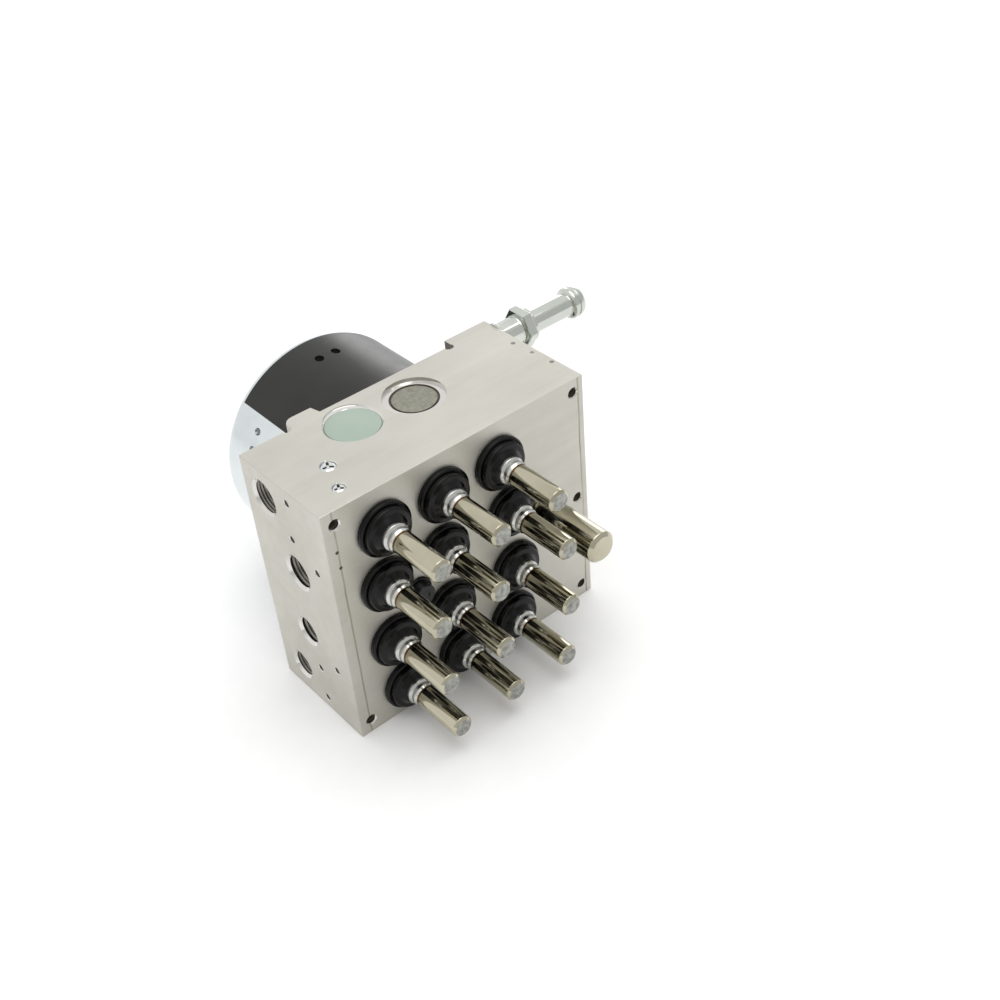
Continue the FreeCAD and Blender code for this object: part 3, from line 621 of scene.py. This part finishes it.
def bore_chambers(block):
    """Pump bores with their counterbores, the damper's chamber and the two accumulators."""
    pump = [(3.45, -45), (3.45, -6), (8.1, -6), (8.1, -1.2), (10, -1.2), (10.3, 0), (10.3, 1)]
    for side in ("up", "down"):
        cut(block, [cutter(pump, side, MOTOR_AXIS[0], PUMP_BACK, 64)])
    cut(block, [cutter(hole(8.95, 26, 0.55), "up", *DAMPER, 64)])
    # The damper's lip shows a second, off-centre step towards the back
    cut(block, [cutter([(8.0, -0.4), (8.2, 0), (8.2, 1)], "up", 34.2, 33.75, 64)])
    cut(block, [cutter(hole(9.0, 27, 0.4), "down", across, ACCUMULATOR_BACK, 64)
                for across in ACCUMULATORS.values()])


def make_block():
    """The block, milled and drilled in the order of the real work."""
    block = make_box("milled_valve_block", (0, 0, 0), BLOCK, ALUMINIUM)
    mill_back_edge(block)
    round_tab(block)
    break_outer_edges(block, EDGE_BREAK)
    cut_motor_side(block)
    drill_ports(block)
    drill_screw_holes(block)
    bore_chambers(block)
    # The holes for the balls have walls painted darker as shade
    cut(block, [cutter(hole(1.2, 1.2, 0.2), "left", back, up, 24, inside=CUT_ALUMINIUM_SHADE)
                for back, up in LEFT_PLUGS])
    cut(block, [cutter(hole(radius, 0.7, 0.3), "up", across, back, 32)
                for across, back, radius in TOP_PLUGS])
    cut(block, make_dents())
    choose(block)
    bpy.ops.object.shade_smooth_by_angle(angle=math.radians(25))
    even_shading(block)
    keep(block, "machined_aluminium", "valve_block")


def make_ball(place, radius, flat, material):
    """A ball, flattened by a factor, to press a dent with."""
    start_alone()
    bpy.ops.mesh.primitive_uv_sphere_add(segments=24, ring_count=12, radius=radius * MM)
    ball = bpy.context.object
    ball.scale = (1, 1, flat)
    ball.location = at(*place)
    fix_place(ball)
    ball.data.materials.append(material)
    return ball


def make_dents():
    """Knocks and marks of handling near the block's edges."""
    dark = [(3.5, -0.35, 75.3), (3.8, -0.4, 69.4)]
    shallow = [(97.1, 29.9, 90.6), (97.7, 21.2, 90.65), (98.3, 12.4, 90.6)]
    # The dents are painted darker than the face, as shade in their hollows
    return ([make_ball(place, 0.7, 1.0, HOLE_SHADE) for place in dark]
            + [make_ball(place, 1.3, 0.6, CUT_ALUMINIUM_SHADE) for place in shallow])


def make_channel_plugs():
    """Pressed-in balls in the left face, and staked plugs in the top face."""
    balls = []
    for back, up in LEFT_PLUGS:
        balls.append(turn_piece("ball", [(1.15, -3), (1.15, -1.05, 0.3), (0.8, -0.8), (0.3, -0.7)],
                                (0, back, up), "left", 24, BRIGHT_STEEL))
    left = join(balls, "channel_plugs_left")
    bpy.ops.object.shade_smooth_by_angle(angle=math.radians(40))
    keep(left, "bright_steel")
    staked = []
    for across, back, radius in TOP_PLUGS:
        plug = turn_piece("plug", [(radius - 0.05, -3), (radius - 0.05, -0.45, 0.3),
                                   (radius * 0.7, -0.1, 0.4), (radius * 0.3, -0.25), (0.2, -0.3)],
                          (across, back, BLOCK[2]), "up", 32, ZINC)
        for turn in (95, 215, 335):
            cut(plug, [make_stake(across, back, radius, turn)])
        staked.append(plug)
    top = join(staked, "channel_plugs_top")
    bpy.ops.object.shade_smooth_by_angle(angle=math.radians(40))
    keep(top, "zinc_plated_steel")


def make_stake(across, back, radius, turn):
    """One of the three chisel marks that hold a plug."""
    half_width, depth = 0.42, 0.8
    # The mark's walls are painted dark brown as the shade in it
    mark = make_box("stake", (across - half_width, back, BLOCK[2] - depth),
                    (across + half_width, back + radius * 0.75, BLOCK[2] + 1), HOLE_SHADE)
    start = at(across, back, BLOCK[2])
    spin = Matrix.Rotation(math.radians(turn), 4, "Z")
    mark.data.transform(Matrix.Translation(start) @ spin @ Matrix.Translation(-start))
    return mark


# Valves and sensor


def make_valves():
    """Each valve: a stepped black collar and a closed plated sleeve."""
    collar = turn_piece("valve_collar", [
        (4.2, 0), (9.3, 0), (9.3, 1.5, 0.5), (8.7, 1.9), (8.4, 1.6), (8.2, 1.6), (8.0, 3.6, 0.6),
        (7.0, 3.7), (6.2, 3.9, 0.5), (4.9, 5.4, 0.4), (4.2, 5.4),
    ], (0, 0, 0), "front", 64, BLACK_RUBBER)
    even_shading(collar)
    sleeve = turn_piece("valve_sleeve", [
        (3.25, 18.6), (3.25, 0.1), (4.1, 0.1), (4.1, 5.0), (4.6, 5.2, 0.2), (4.6, 6.5, 0.3),
        (3.9, 7.1), (3.9, 7.5), (4.15, 7.8, 0.15), (4.15, 8.6, 0.15), (3.7, 9.3), (3.66, 9.7),
        (3.7, 10.1), (3.7, 27.4, 0.4), (2.9, 28.2),
    ], (0, 0, 0), "front", 64, NICKEL)
    for finish in (WELD_TINT, BRIGHT_STEEL, WORN_NICKEL):
        sleeve.data.materials.append(finish)
    weld_start, weld_end, end_start = 9.25, 9.95, 28.1
    for face in sleeve.data.polygons:
        height = (at(0, 0, 0).y - face.center.y) / MM
        if weld_start < height < weld_end:
            face.material_index = 1
        elif height < weld_start:
            face.material_index = 2
        elif height > end_start:
            face.material_index = 3
    even_shading(sleeve)
    for number, (across, up) in enumerate(valve_places(), start=1):
        for pattern, slot in ((collar, "black_plastic"), (sleeve, "nickel_steel")):
            copy = copy_piece(pattern, f"{pattern.name}_{number}", (across, 0, up))
            keep(copy, slot, "solenoid_valves")
    for pattern in (collar, sleeve):
        bpy.data.objects.remove(pattern, do_unlink=True)
    sensor = turn_piece("plated_sensor", [
        (6.3, 0), (6.3, 1.5, 0.4), (5.5, 1.5), (5.5, 26.9, 0.5), (4.3, 28),
    ], (SENSOR[0], 0, SENSOR[1]), "front", 64, NICKEL)
    keep(even_shading(sensor), "nickel_steel", "pressure_sensor")


# Plugs in the block


def make_plugs():
    """The damper's plug and the two pump plugs."""
    damper = turn_piece("green_damper_plug", [(8.9, -4.4), (8.9, -0.4, 0.25), (8.2, -0.4)],
                        (*DAMPER, BLOCK[2]), "up", 64, GREEN_ZINC)
    keep(even_shading(damper), "green_plug", "damper_plug")
    for name, side, up in (("top", "up", BLOCK[2]), ("bottom", "down", 0)):
        plug = turn_piece(f"grey_pump_plug_{name}", [
            (8.1, -7.7), (8.1, -1.9), (7.4, -1.9), (7.3, -1.2, 0.2), (6.5, -1.2),
        ], (MOTOR_AXIS[0], PUMP_BACK, up), side, 64, GREY_STEEL)
        plug.data.materials.append(HOLE_SHADE)
        # The narrow groove around the plug's raised middle lies in shadow
        for face in plug.data.polygons:
            depth = abs(face.center.z - up * MM)
            if 1.4 * MM < depth < 2.1 * MM and face.area < 1e-5:
                face.material_index = 1
        keep(even_shading(plug), "steel_plug", f"pump_plug_{name}")


def make_post_end():
    """End of the motor's contact post, with two contact slots, and the seal around it."""
    place = (CONTACT_POST[0], 0, CONTACT_POST[1])
    cap = turn_piece("contact_post_end", [(3.6, 3.2), (3.6, 4.1, 0.5), (2.6, 4.1)], place, "front",
                     48, BLACK_PLASTIC)
    # The slots are painted dark brown as the shade in them
    cut(cap, [make_box("slot", (across, -4.4, 44.2), (across + 0.6, -3.4, 45.8), HOLE_SHADE)
              for across in (27.4, 29.6)])
    keep(cap, "black_plastic")
    seal = turn_piece("contact_post_seal", [(3.6, 0), (4.7, 0), (4.7, 0.8, 0.4), (3.6, 0.8)],
                      place, "front", 48, BLACK_RUBBER)
    keep(seal, "black_plastic")


# Motor


def make_motor():
    """The drawn can with its foil and the two bolts that hold the motor to the block."""
    axis = (MOTOR_AXIS[0], MOTOR_FACE, MOTOR_AXIS[1])
    can = turn_piece("drawn_motor_can", [
        (3.05, 54.4), (3.05, 49.9), (36.5, 49.9), (36.5, 0), (CAN_RADIUS, 0),
        (CAN_RADIUS, 48.3, 0.2), (37.6, 48.7, 0.2), (37.6, CAN_LENGTH, CAN_CORNER),
        (11.5, CAN_LENGTH), (10.4, 52.2, 0.4), (10, 55.9, 1.2), (8, 55.9),
    ], axis, "back", 128, ZINC)
    cut(can, staking_marks())
    choose(can)
    bpy.ops.object.shade_smooth_by_angle(angle=math.radians(32))
    keep(even_shading(can), "zinc_plated_steel", "motor_can")
    make_label(axis)
    for turn in (20, 200):
        across = MOTOR_AXIS[0] + BOLT_CIRCLE * math.cos(math.radians(turn))
        up = MOTOR_AXIS[1] + BOLT_CIRCLE * math.sin(math.radians(turn))
        bolt = turn_piece(f"motor_bolt_{turn}", [
            (4.0, 0), (4.0, 0.5, 0.2), (3.6, 0.6), (3.6, 2.6, 0.5), (1.9, 2.6), (1.9, 1.0),
            (1.2, 0.9),
        ], (across, MOTOR_FACE + CAN_LENGTH - 0.1, up), "back", 32, ZINC)
        keep(even_shading(bolt), "zinc_plated_steel")


def staking_marks():
    """Pairs of punched dimples around the can that hold the magnets' frame."""
    marks = []
    marks_back, half_pair = 79.5, 5.0
    for pair in (89.2, 149.2, 209.2, 269.2, 329.2, 29.2):
        for turn in (pair - half_pair, pair + half_pair):
            angle = math.radians(turn)
            out = Vector((math.cos(angle), 0, math.sin(angle)))
            labelled = (turn - LABEL_START) % 360 < LABEL_SPAN
            start_alone()
            bpy.ops.mesh.primitive_uv_sphere_add(segments=24, ring_count=12,
                                                 radius=(1.6 if labelled else 1.35) * MM)
            mark = bpy.context.object
            mark.scale = (1, 1.25, 1)
            mark.location = (at(MOTOR_AXIS[0], marks_back, MOTOR_AXIS[1])
                             + out * (CAN_RADIUS + 0.5) * MM)
            fix_place(mark)
            # Dimples under the foil are painted black as shadow; the others take the darker spring
            # steel's colour, a painted shade in the zinc can's hollows
            mark.data.materials.append(PUNCH_SHADOW if labelled else SPRING_STEEL)
            marks.append(mark)
    return marks


def make_label(axis):
    """Black foil around the upper part of the can."""
    start_alone()
    bpy.ops.mesh.primitive_cylinder_add(vertices=180, radius=(CAN_RADIUS + 0.01) * MM, depth=1,
                                        end_fill_type="NOTHING")
    label = bpy.context.object
    label.name = "bare_motor_label"
    first, last = 1.2, CAN_LENGTH - CAN_CORNER - 0.9
    label.scale = (1, 1, (last - first) * MM)
    label.location = at(axis[0], axis[1] + (first + last) / 2, axis[2])
    label.rotation_euler = TURNS["back"]
    fix_place(label)
    centre = at(*axis)
    choose(label)
    bpy.ops.object.mode_set(mode="EDIT")
    bpy.ops.mesh.select_mode(type="FACE")
    bpy.ops.mesh.select_all(action="DESELECT")
    bpy.ops.object.mode_set(mode="OBJECT")
    for face in label.data.polygons:
        turn = math.degrees(math.atan2(face.center.z - centre.z, face.center.x - centre.x))
        face.select = (turn - LABEL_START) % 360 > LABEL_SPAN
    bpy.ops.object.mode_set(mode="EDIT")
    bpy.ops.mesh.delete(type="FACE")
    bpy.ops.object.mode_set(mode="OBJECT")
    label.data.materials.append(BLACK_FOIL)
    modifier = label.modifiers.new("thickness", "SOLIDIFY")
    modifier.thickness = LABEL_THICKNESS * MM
    modifier.offset = 1
    bpy.ops.object.modifier_apply(modifier=modifier.name)
    cut(label, staking_marks())
    choose(label)
    bpy.ops.object.shade_smooth_by_angle(angle=math.radians(32))
    keep(label, "black_plastic")


# Hose nipple


def make_nipple():
    """The hose nipple with its bulb end, collars and hexagon nut."""
    place = (BLOCK[0], *NIPPLE)
    tube = turn_piece("plated_hose_nipple", [
        (2.4, 10), (2.4, 37.4), (5.55, 37.4, 2.7), (5.55, 34.2, 0.2), (5.2, 33.9), (5.2, 33.7),
        (5.6, 33.4, 0.2), (5.6, 31.8, 1.1), (4.1, 31.4, 0.2),
        (4.1, 14.8, 0.3), (4.9, 14.0, 0.3), (6.1, 14.0, 0.2), (6.1, 12.7, 0.2), (5.0, 12.5),
        (5.0, 8.9), (5.2, 8.6, 0.1), (5.0, 8.2), (5.0, 1.0, 0.2), (5.9, 0.9, 0.3), (5.9, -0.3),
        (5.0, -0.3), (5.0, -9), (2.4, -9),
    ], place, "right", 64, CHROMATE_ZINC)
    even_shading(tube)
    across_flats, thickness, nut_centre = 13, 3.4, 11
    start_alone()
    bpy.ops.mesh.primitive_cylinder_add(vertices=6, radius=across_flats / math.sqrt(3) * MM,
                                        depth=thickness * MM)
    nut = bpy.context.object
    nut.rotation_euler = TURNS["right"]
    nut.location = at(place[0] + nut_centre, place[1], place[2])
    fix_place(nut)
    nut.data.materials.append(CHROMATE_ZINC)
    round_edges(nut, 0.4)
    even_shading(nut)
    keep(join([tube, nut], "plated_hose_nipple"), "zinc_plated_steel", "union_nipple")


# Springs inside the block


def wind_spring(name, radius, wire, length):
    """A compression spring from 0 up: the wire's section is screwed up and its ends are closed."""
    start_alone()
    bpy.ops.mesh.primitive_circle_add(vertices=10, radius=wire / 2 * MM,
                                      rotation=(math.pi / 2, 0, 0),
                                      location=(radius * MM, 0, wire / 2 * MM))
    spring = bpy.context.object
    spring.name = name
    fix_place(spring)
    modifier = spring.modifiers.new("winding", "SCREW")
    modifier.screw_offset = (length - wire) / SPRING_TURNS * MM
    modifier.iterations = SPRING_TURNS
    modifier.steps = modifier.render_steps = 24
    bpy.ops.object.modifier_apply(modifier=modifier.name)
    bpy.ops.object.mode_set(mode="EDIT")
    bpy.ops.mesh.select_all(action="SELECT")
    bpy.ops.mesh.fill_holes(sides=0)
    bpy.ops.mesh.select_all(action="SELECT")
    bpy.ops.mesh.normals_make_consistent(inside=False)
    bpy.ops.object.mode_set(mode="OBJECT")
    bpy.ops.object.shade_smooth_by_angle(angle=math.radians(50))
    spring.data.materials.append(SPRING_STEEL)
    return spring


def make_springs():
    """Springs for the pumps and accumulators, each set on its fixed end in its bore."""
    springs = [
        ("pump", "top", PUMP_SPRING, (MOTOR_AXIS[0], PUMP_BACK, 82.2), "down"),
        ("pump", "bottom", PUMP_SPRING, (MOTOR_AXIS[0], PUMP_BACK, 7.8), "up"),
    ]
    for which, across in ACCUMULATORS.items():
        springs.append(("accumulator", which, ACCUMULATOR_SPRING, (across, ACCUMULATOR_BACK, 2.6),
                        "up"))
    for kind, which, (radius, wire, length, stroke), place, facing in springs:
        spring = wind_spring(f"wound_{kind}_spring_{which}", radius, wire, length)
        spring.rotation_euler = TURNS[facing]
        spring.location = at(*place)
        fix_place(spring)
        keep(spring, "bright_steel", f"{kind}_spring_{which}")
        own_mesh(spring)


# Finishes of the frame's own nodes that stay in sight or inside


def finish_nodes():
    """Give the inner pieces, drawn as the frame's own nodes, their finishes by name."""
    finishes = {
        "accumulator_cap": GREY_STEEL, "accumulator_piston": BRIGHT_STEEL,
        "pump_piston": BRIGHT_STEEL, "valve_plunger": BRIGHT_STEEL, "rotor_shaft": BRIGHT_STEEL,
        "eccentric_ring": BRIGHT_STEEL, "front_bearing": BRIGHT_STEEL, "armature_core": CORE_STEEL,
        "armature_windings": COPPER, "commutator": COPPER, "motor_magnets": FERRITE,
        "motor_brushes": CARBON, "brush_holder": BLACK_PLASTIC,
    }
    for name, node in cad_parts.items():
        for start, material in finishes.items():
            if name.startswith(start):
                node.data.materials.clear()
                node.data.materials.append(material)


# Studio


def make_studio():
    """White floor, a pale sky that is brighter on high, and two soft lamps."""
    start_alone()
    bpy.ops.mesh.primitive_plane_add(size=8, location=(0, 0, 0))
    floor = bpy.context.object
    floor.name = "floor"
    floor.data.materials.append(WHITE_FLOOR)
    world = bpy.data.worlds.new("soft_sky")
    bpy.context.scene.world = world
    world.use_nodes = True
    tree = world.node_tree
    towards = add_node(tree, "ShaderNodeTexCoord", {}, {})
    lean = add_node(tree, "ShaderNodeVectorMath", {"operation": "DOT_PRODUCT"}, {
        0: towards.outputs["Generated"], 1: (-0.1, 0.6, 0.62)})
    ramp = add_node(tree, "ShaderNodeValToRGB", {}, {"Fac": lean.outputs["Value"]})
    ramp.color_ramp.elements[0].color = grey(0.66)
    ramp.color_ramp.elements[1].position = 0.45
    ramp.color_ramp.elements[1].color = grey(1.0)
    tree.links.new(ramp.outputs["Color"], tree.nodes["Background"].inputs["Color"])
    tree.nodes["Background"].inputs["Strength"].default_value = 1.0
    lamps = (
        ("overhead", (0.1, -0.15, 1.3), (0, 0, 0.04), 1.1, 7.5),
        ("behind_on_the_right", (0.95, 0.85, 0.2), (0, 0, 0.06), 0.6, 2.0),
    )
    for name, place, target, size, power in lamps:
        start_alone()
        bpy.ops.object.light_add(type="AREA", location=place)
        lamp = bpy.context.object
        lamp.name = name
        lamp.data.size = size
        lamp.data.energy = power
        lamp.rotation_euler = (Vector(target) - Vector(place)).to_track_quat("-Z", "Y").to_euler()


def make_camera():
    """The photograph's view: about 40 degrees down, from the left of the front."""
    start_alone()
    bpy.ops.object.camera_add(location=(-0.18884, -0.27948, 0.32415),
                              rotation=[math.radians(turn) for turn in (51.718, 4.167, -40.367)])
    camera = bpy.context.object
    camera.name = "photo_camera"
    camera.data.lens = 49.02
    camera.data.sensor_width = 36.0
    camera.data.clip_start = 0.01
    bpy.context.scene.camera = camera


make_camera()
make_block()
make_valves()
make_plugs()
make_channel_plugs()
make_post_end()
make_motor()
make_nipple()
make_springs()
finish_nodes()
make_studio()
bpy.context.scene.view_settings.view_transform = "Standard"
